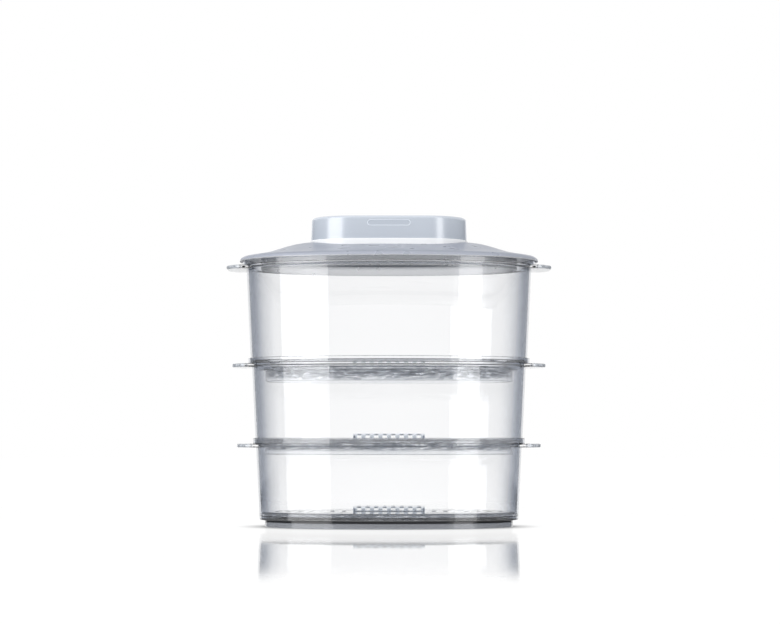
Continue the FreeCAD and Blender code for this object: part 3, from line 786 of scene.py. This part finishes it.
class BowlShape:
    """Heights and half widths of one bowl, from the frame and the shared sizes."""

    def __init__(self, node, foot=None, foot_z=None):
        s = sizes()
        low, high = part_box(node)
        self.node = node
        self.low, self.top = low.z, high.z
        self.lip_outside = high.x - s.ear_reach
        self.lip_inside = self.lip_outside - s.lip
        self.foot = foot
        self.foot_z = self.low if foot_z is None else foot_z

    def outside(self, z):
        """Half width outside the wall at height z."""
        return self.foot + sizes().taper * (z - self.foot_z)

    def inside(self, z):
        """Half width inside the wall at height z."""
        return self.outside(z) - sizes().wall

    def upper_points(self):
        """The wall's outside, the lip and the ledge inside it."""
        s = sizes()
        wall_top = self.top - s.lip_height - s.lip_root
        ledge = self.top - s.lip_depth
        return [
            (self.foot, self.foot_z, s.edge_round),
            (self.outside(wall_top), wall_top, s.edge_round),
            (self.lip_outside, self.top - s.lip_height, s.edge_round),
            (self.lip_outside, self.top, s.edge_round),
            (self.lip_inside, self.top, s.edge_round),
            (self.lip_inside, ledge, 0),
            (self.inside(ledge), ledge, s.edge_round),
        ]


class STEAMER_OT_bowls(bpy.types.Operator):
    """Make the three clear bowls with their ears"""

    bl_idname = "steamer.bowls"
    bl_label = "Bowls"

    def execute(self, context):
        s = sizes()
        mounts = {m["name"]: m for m in frame["record"]["mounts"]}
        bottom = BowlShape("bottom_bowl", mounts["bowl_foot"]["pos_m"][0] + s.wall / 2)
        middle = BowlShape("middle_bowl", bottom.lip_inside - s.nest_gap)
        top = BowlShape("top_bowl", middle.lip_inside - s.nest_gap, middle.top - s.lip_depth)
        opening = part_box("middle_floor")[1].x - s.flange_reach + s.floor_gap
        material = self.material(bottom, top)
        for bowl, lower, body in (
            (bottom, self.bottom_points(bottom, opening), "bottom"),
            (middle, self.middle_points(middle, opening), "middle"),
            (top, self.top_points(top, opening), "top"),
        ):
            profile = rounded(bowl.upper_points() + lower)
            shell = loft(f"clear_{bowl.node}", oval_stations(), profile)
            outward(shell)
            combine(shell, [self.ear(bowl, side) for side in (1, -1)], "UNION")
            shade(shell)
            finish_with(shell, material)
            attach(shell, body)
            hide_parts(bowl.node)
        return {"FINISHED"}

    def material(self, bottom, top):
        """Clear, with ears in a greyer, half clear tint that is painted shade, and a painted shadow line round the
        foot. The ears start further out the higher they are.
        """
        c, s = colours(), sizes()
        widening = (top.lip_outside - bottom.lip_outside) / (top.top - bottom.top)
        start = bottom.lip_outside - widening * (bottom.top - s.ear_drop) + s.edge_round
        material = clear_material(
            "clear_bowl", c.clear_face, c.clear_edge_shade, roughness=0.015, ripple=0.03, shade_colour=(0.93, 0.94, 0.96)
        )

        def ears(nodes, links):
            """What lies beyond the lips."""
            x, _, z = place_parts(nodes, links)
            out = combined(nodes, links, "ABSOLUTE", x)
            beyond = combined(nodes, links, "SUBTRACT", out, combined(nodes, links, "MULTIPLY", z, widening))
            return rising(nodes, links, beyond, start, start + s.lip)

        # painted shade: the ears get a greyer, less clear tint
        add_zone(material, ears, c.ear, clarity=0.5)
        # painted shadow line round the bowl's foot
        add_zone(material, foot_shadow_line, c.foot_shadow_line, clarity=0.3)
        return material

    def bottom_points(self, bowl, opening):
        """The floor's ledge stands inside the wall, above the wall's foot."""
        s = sizes()
        seat = s.seat_up
        return [
            (bowl.inside(seat), seat, 0),
            (opening, seat, 0),
            (opening, seat - s.ledge, s.edge_round),
            (bowl.inside(seat - s.ledge), seat - s.ledge, 0),
            (bowl.foot - s.wall, bowl.foot_z, s.edge_round),
        ]

    def middle_points(self, bowl, opening):
        """The wall's foot turns in flat to the floor's ledge."""
        s = sizes()
        seat = bowl.foot_z + s.ledge
        return [
            (bowl.inside(seat), seat, s.edge_round),
            (opening, seat, 0),
            (opening, bowl.foot_z, s.edge_round),
        ]

    def top_points(self, bowl, opening):
        """A funnel leads down from the wall's foot to the floor's ledge."""
        s = sizes()
        ledge = bowl.foot_z - s.funnel_drop
        seat, funnel_top = ledge + s.ledge, bowl.foot_z + s.ledge
        return [
            (bowl.inside(funnel_top), funnel_top, s.edge_round),
            (opening + s.flange_reach + s.funnel_run, funnel_top, s.edge_round),
            (opening + s.flange_reach, seat, 0),
            (opening, seat, 0),
            (opening, ledge, s.edge_round),
            (opening + s.funnel_out, ledge, s.edge_round),
            (opening + s.funnel_out + s.funnel_run, bowl.foot_z, 0),
        ]

    def ear(self, bowl, side):
        """One ear: a tab with rounded edges, rooted in the middle of the wall, at the end on that side."""
        s = sizes()
        middle = bowl.top - s.ear_drop
        low, high = middle - s.ear_thick / 2, middle + s.ear_thick / 2
        tip = bowl.lip_outside + s.ear_reach
        root = bowl.outside(middle) - s.wall / 2 - s.end_centre
        sweep = math.asin(s.ear_half / root)

        def outline(inset, z):
            """The ear's plan at height z, counterclockwise, drawn in by inset."""
            half, end, corner = s.ear_half - inset, tip - inset, s.ear_corner
            front = rounded(
                [
                    (s.end_centre + root * math.cos(sweep), -half, 0),
                    (end - corner, -half, corner),
                    (end, -half / 2, 2 * corner),
                    (end, half / 2, 2 * corner),
                    (end - corner, half, corner),
                    (s.end_centre + root * math.cos(sweep), half, 0),
                ],
                closed=False,
                steps=8,
            )
            steps = 12
            turns = [sweep * (1 - 2 * k / steps) for k in range(1, steps)]
            inner = [(s.end_centre + root * math.cos(t), root * math.sin(t)) for t in turns]
            return [(side * x, side * y, z) for x, y in front + inner]

        ear = pillar("ear", outline, quarter(s.ear_edge, low, high))
        outward(ear)
        return ear


class STEAMER_OT_floors(bpy.types.Operator):
    """Dress the perforated floors"""

    bl_idname = "steamer.floors"
    bl_label = "Floors"

    def execute(self, context):
        c, s = colours(), sizes()
        pitch = (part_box("top_floor")[0].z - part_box("bottom_floor")[0].z) / 2
        material = clear_material(
            "clear_floor", c.floor_face, c.floor_edge_shade, roughness=0.05, ripple=0.5, shade_colour=(0.85, 0.87, 0.9)
        )
        wide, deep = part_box("top_floor")[1].x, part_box("top_floor")[1].y

        def skirt(nodes, links):
            """The outermost part of a floor."""
            x, y, _ = place_parts(nodes, links)
            x, y = combined(nodes, links, "DIVIDE", x, wide), combined(nodes, links, "DIVIDE", y, deep)
            return rising(nodes, links, sum_of_squares(nodes, links, x, y), *SKIRT_STARTS)

        def streaks(nodes, links):
            """Painted streaks: long level dark streaks standing in for the slots seen through the skirt, on its upper
            part only.
            """
            x, y, z = place_parts(nodes, links)
            point = nodes.new("ShaderNodeCombineXYZ")
            for value, socket in zip((x, y, combined(nodes, links, "MULTIPLY", z, STREAK_LENGTH)), point.inputs):
                links.new(value, socket)
            noise = nodes.new("ShaderNodeTexNoise")
            noise.inputs["Scale"].default_value = STREAK_SCALE
            noise.inputs["Detail"].default_value = 4
            links.new(point.outputs["Vector"], noise.inputs["Vector"])
            up = combined(nodes, links, "MODULO", combined(nodes, links, "ADD", z, s.edge_round), pitch)
            upper = rising(nodes, links, up, s.streaks_from, 2 * s.streaks_from)
            streak = rising(nodes, links, noise.outputs["Fac"], *STREAK_NOISE)
            share = combined(nodes, links, "MULTIPLY", upper, streak)
            return blended(nodes, links, "RGBA", (*c.floor_skirt, 1), (*c.floor_painted_streak, 1), share)

        def foot(nodes, links):
            """The bottom floor's skirt where it stands out below its bowl, which gets a painted darker shade."""
            z = place_parts(nodes, links)[2]
            return combined(nodes, links, "SUBTRACT", 1, rising(nodes, links, z, *FOOT_SHADE_ENDS))

        # the skirts get painted streaks standing in for the slots seen through them
        add_zone(material, skirt, streaks, clarity=1.0)
        # painted shade on the bottom floor's skirt below its bowl
        add_zone(material, foot, c.floor_foot_shade, clarity=0.7)
        # painted shadow line round the bottom floor's foot
        add_zone(material, foot_shadow_line, c.foot_shadow_line, clarity=0.3)
        for name in FLOORS:
            finish_with(frame["nodes"][name], material)
        return {"FINISHED"}


def through_holes(low, high):
    """Cutters for the lid's steam and screw holes."""
    s = sizes()
    vents = [((i - (VENTS - 1) / 2) * s.vent_pitch, s.vent_back, s.vent_hole) for i in range(VENTS)]
    screws = [(side * s.screw_aside, 0, s.screw_hole) for side in (-1, 1)]
    return [pillar("hole", round_outline(x, y, r), [(0, low), (0, high)]) for x, y, r in vents + screws]


class STEAMER_OT_lid(bpy.types.Operator):
    """Make the domed lid with its brim, rib, skirt and holes"""

    bl_idname = "steamer.lid"
    bl_label = "Lid"

    def execute(self, context):
        s = sizes()
        top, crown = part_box("top_bowl")[1].z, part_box("lid")[1].z
        brim = carried(oval_stations(), rounded(self.brim_points(top), closed=False, steps=8))
        over, under = self.dome_rings(brim[0], top, crown, 0), self.dome_rings(brim[-1], top, crown, s.lid_wall)
        lid = skin("domed_lid", [*reversed(over), *brim, *under], closed=False)
        outward(lid)
        combine(lid, through_holes(crown - 2 * s.lid_wall, crown + s.lid_wall), "DIFFERENCE")
        shade(lid)
        finish_with(lid, self.material(top))
        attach(lid, "lid")
        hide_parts("lid")
        return {"FINISHED"}

    def material(self, top):
        """Satin grey outside, and clear and pale inside and on the skirt, which face inwards or down."""
        c = colours()
        material = clear_material(
            "smoky_lid",
            c.lid_face,
            c.lid_edge_shade,
            roughness=0.3,
            ripple=0.02,
            shade_colour=(0.7, 0.72, 0.76),
            clarity=0.15,
        )
        shader = next(node for node in material.node_tree.nodes if node.type == "BSDF_PRINCIPLED")
        shader.inputs["Specular IOR Level"].default_value = 0.3

        def inside(nodes, links):
            """What isn't both over the bowl's lip and facing outwards or up."""
            z, facing = place_parts(nodes, links)[2], place_parts(nodes, links, "Normal")[2]
            over = rising(nodes, links, z, *(top + up for up in LID_OVER))
            upward = rising(nodes, links, facing, *LID_UPWARD)
            return combined(nodes, links, "SUBTRACT", 1, combined(nodes, links, "MULTIPLY", over, upward))

        add_zone(material, inside, c.lid_inside, clarity=0.85)
        return material

    def dome_rings(self, crease, top, crown, drop):
        """The dome's rings from the crease to the crown, lowered by drop."""
        s = sizes()
        sections = [
            crease,
            dome_ring(s.shoulder, s.shoulder_deep, top + s.shoulder_up - drop),
            dome_ring(s.ridge, s.ridge_deep, top + s.ridge_up - drop),
            dome_ring(s.crown, s.crown_deep, crown - drop),
        ]
        return smooth_rings(sections, 30)

    def brim_points(self, top):
        """The brim's profile from the crease over its outside and back in under it, with the rib and the skirt."""
        s = sizes()
        lip_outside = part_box("top_bowl")[1].x - s.ear_reach
        brim_inside = lip_outside + s.brim_gap
        brim_outside = brim_inside + s.brim_wall
        corner = brim_outside - s.brim_bend_in
        slope = (s.crease_up - s.brim_top) / (corner - s.crease)
        skirt_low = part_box("lid")[0].z
        skirt_inside = s.lid_skirt - s.skirt_wall
        rib_outside = lip_outside - (s.lip - s.rest_rib) / 2
        rib_inside = rib_outside - s.rest_rib

        def under(half_width):
            """Height of the brim's underside."""
            return top + s.crease_up - (half_width - s.crease) * slope - s.lid_wall

        return [
            (s.crease, top + s.crease_up, 0),
            (corner, top + s.brim_top, s.brim_curve),
            (brim_outside - s.brim_bend_out, top + s.brim_bend_up, s.brim_curve),
            (brim_outside, top - s.brim_drop, s.edge_round),
            (brim_inside, top - s.brim_drop, s.edge_round),
            (brim_inside, top, 0),
            (rib_outside, top + s.brim_top - s.lid_wall, 0),
            (rib_outside, top, 0),
            (rib_inside, top, 0),
            (rib_inside, under(rib_inside), 0),
            (s.lid_skirt, under(s.lid_skirt), 0),
            (s.lid_skirt, skirt_low, s.edge_round),
            (skirt_inside, skirt_low, s.edge_round),
            (skirt_inside, under(skirt_inside), 0),
            (s.crease, under(s.crease), 0),
        ]


class STEAMER_OT_handle(bpy.types.Operator):
    """Make the hollow handle and its badge, and dress their base and the screws"""

    bl_idname = "steamer.handle"
    bl_label = "Handle"

    def execute(self, context):
        c = colours()
        silver, plate = [
            satin_material(name, c.handle, SILVER_ROUGHNESS, bend=SILVER_BEND) for name in ("silver_grey", "badge_grey")
        ]
        self.add_body(silver)
        # the rim's material carries a painted highlight
        self.add_badge(plate, satin_material("badge_rim", c.badge_rim, roughness=0.2))
        nodes = frame["nodes"]
        finish_with(nodes["handle_base"], satin_material("pale_trim", c.trim, roughness=0.2))
        finish_with(nodes["handle_screws"], satin_material("screw_steel", c.screw, roughness=0.25, metallic=1.0))
        return {"FINISHED"}

    def place(self, piece, material, node, slot):
        """Dresses a piece that stands for a node of the lid and puts it on the lid."""
        shade(piece)
        finish_with(piece, material)
        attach(piece, "lid")
        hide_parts(node)

    def add_body(self, material):
        """The handle: a drafted shell with screw bosses inside, a recess in front and steam slots behind."""
        s = sizes()
        low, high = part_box("lid_handle")
        deep = high.y
        roof = high.z - s.handle_wall
        profile = [
            (s.edge_round, high.z, 0),
            (deep - s.handle_draft, high.z, s.handle_round),
            (deep, low.z, 0),
            (deep - s.handle_wall, low.z, 0),
            (deep - s.handle_wall - s.handle_draft, roof, s.edge_round),
            (s.edge_round, roof, 0),
        ]
        stations = stadium_stations(high.x - high.y)
        body = loft("handle_body", stations, rounded(profile, closed=False, steps=6), closed=False)
        outward(body)
        ends = [side * s.screw_aside for side in (-1, 1)]
        bosses = [pillar("boss", round_outline(x, 0, s.boss), [(0, low.z), (0, roof + s.wall / 2)]) for x in ends]
        combine(body, bosses, "UNION")
        bores = [
            pillar("bore", round_outline(x, 0, s.screw_shank), [(0, low.z - s.wall), (0, low.z + s.screw_length)])
            for x in ends
        ]
        slots = []
        for i in range(VENTS):
            x = (i - (VENTS - 1) / 2) * s.vent_pitch
            outline = box_outline(x - s.vent_slot / 2, x + s.vent_slot / 2, deep - 2 * s.handle_wall, deep + s.wall)
            slots.append(pillar("slot", outline, [(0, low.z + s.vent_up), (0, low.z + s.vent_up + s.vent_tall)]))
        combine(body, bores + slots + [self.badge_recess()], "DIFFERENCE")
        self.place(body, material, "lid_handle", "silver_grey")

    def badge_sizes(self):
        """The badge's half length, end radius, middle height, front and back."""
        low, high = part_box("handle_badge")
        return high.x, (high.z - low.z) / 2, (high.z + low.z) / 2, low.y, high.y

    def badge_recess(self):
        """A cutter for the badge's seat in the handle's front."""
        s = sizes()
        half, radius, middle, front, back = self.badge_sizes()
        grown = radius + s.badge_gap
        bottom = back - front + s.badge_gap
        profile = [(s.badge_gap, bottom), (grown, bottom), (grown, -s.wall), (s.badge_gap, -s.wall)]
        cutter = loft("recess", stadium_stations(half - radius), profile, closed=False)
        outward(cutter)
        cutter.data.transform(Matrix.Translation((0, front, middle)) @ Matrix.Rotation(-math.pi / 2, 4, "X"))
        return cutter

    def add_badge(self, material, bright):
        """A blank plate with a raised rim, let into the handle's front; the rim's lighter material is a painted
        highlight.
        """
        s = sizes()
        half, radius, middle, front, back = self.badge_sizes()
        profile = [
            (s.badge_gap, s.badge_rise, 0),
            (radius - s.badge_rim, s.badge_rise, s.badge_gap),
            (radius - s.badge_rim * 0.8, 0, s.badge_gap),
            (radius, 0, s.badge_gap),
            (radius, back - front, 0),
            (s.badge_gap, back - front, 0),
        ]
        straight = half - radius
        profile = rounded(profile, closed=False, least=0.02 * MM)
        plate = loft("badge_plate", stadium_stations(straight), profile, closed=False)
        outward(plate)
        plate.data.transform(Matrix.Translation((0, front, middle)) @ Matrix.Rotation(-math.pi / 2, 4, "X"))
        self.place(plate, material, "handle_badge", "badge_grey")
        plate.data.materials.append(bright)
        # faces of the rim get the painted highlight
        for face in plate.data.polygons:
            x, z = max(abs(face.center.x) - straight, 0), face.center.z - middle
            face.material_index = int(math.hypot(x, z) > radius - s.badge_rim)


OPERATORS = (STEAMER_OT_stage, STEAMER_OT_bowls, STEAMER_OT_floors, STEAMER_OT_lid, STEAMER_OT_handle)


class STEAMER_PT_panel(bpy.types.Panel):
    """Lists the pieces, the sizes, the colours and the stage"""

    bl_idname = "STEAMER_PT_panel"
    bl_label = "Steamer"
    bl_space_type = "VIEW_3D"
    bl_region_type = "UI"
    bl_category = "Steamer"

    def draw(self, context):
        for operator in OPERATORS:
            self.layout.operator(operator.bl_idname)
        for group in (sizes(), colours(), stage()):
            box = self.layout.box()
            for name in group.__annotations__:
                box.prop(group, name)


CLASSES = (SteamerSizes, SteamerColours, SteamerStage, *OPERATORS, STEAMER_PT_panel)


def register():
    for cls in CLASSES:
        bpy.utils.register_class(cls)
    bpy.types.Scene.steamer_sizes = PointerProperty(type=SteamerSizes)
    bpy.types.Scene.steamer_colours = PointerProperty(type=SteamerColours)
    bpy.types.Scene.steamer_stage = PointerProperty(type=SteamerStage)


def unregister():
    del bpy.types.Scene.steamer_stage
    del bpy.types.Scene.steamer_colours
    del bpy.types.Scene.steamer_sizes
    for cls in reversed(CLASSES):
        bpy.utils.unregister_class(cls)


def main():
    register()
    for name in ("stage", "bowls", "floors", "lid", "handle"):
        getattr(bpy.ops.steamer, name)()


if __name__ == "__main__":
    main()
